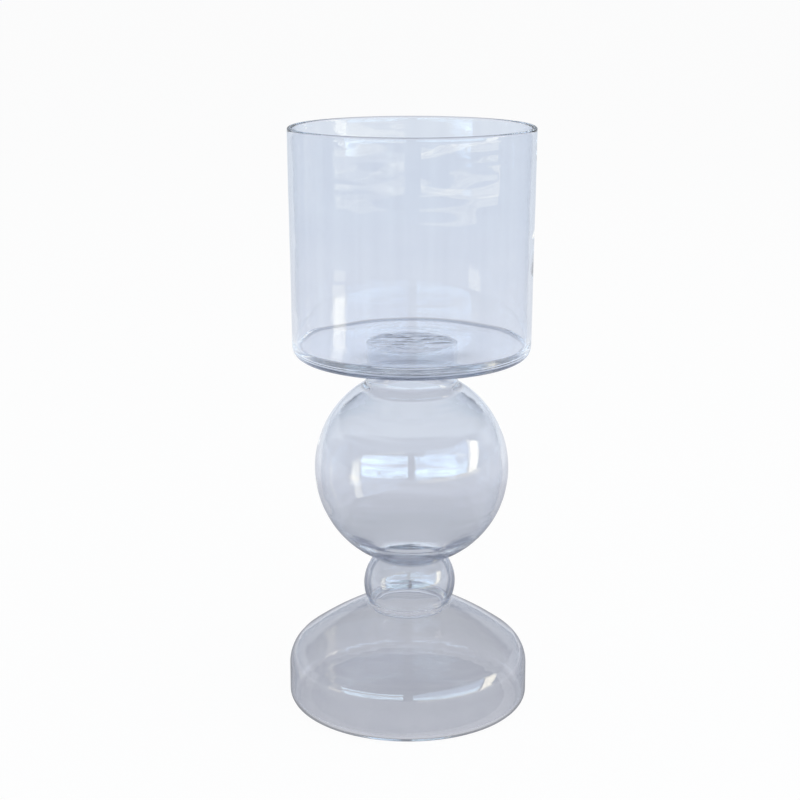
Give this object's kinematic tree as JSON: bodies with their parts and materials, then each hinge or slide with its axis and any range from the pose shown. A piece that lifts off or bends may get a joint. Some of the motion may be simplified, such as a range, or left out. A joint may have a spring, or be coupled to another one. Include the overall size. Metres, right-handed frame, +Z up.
{
  "type": "hurricane candle lantern",
  "caption": "Clear blown-glass hurricane candle lantern: open cylinder cup for a pillar candle, hot-sealed to a hollow ball, a small knop and a hollow bell foot.",
  "frame": {"origin": "centre of the foot's standing ring, on the surface that the lantern stands on", "axes": "+Z up along the turning axis, from the foot to the cup's mouth; X and Y are free because every piece is turned"},
  "size_m": [0.1264, 0.1264, 0.305],
  "materials": {
    "cup_glass": "clear, fire-polished",
    "stem_glass": "clear, blown",
    "foot_glass": "clear, blown",
    "seal_glass": "clear, hot-worked"
  },
  "bodies": {
    "root": {"cup": "cup_glass", "cup_seal": "seal_glass", "ball": "stem_glass", "knop": "stem_glass", "foot_seal": "seal_glass", "foot": "foot_glass"}
  },
  "joints": []
}
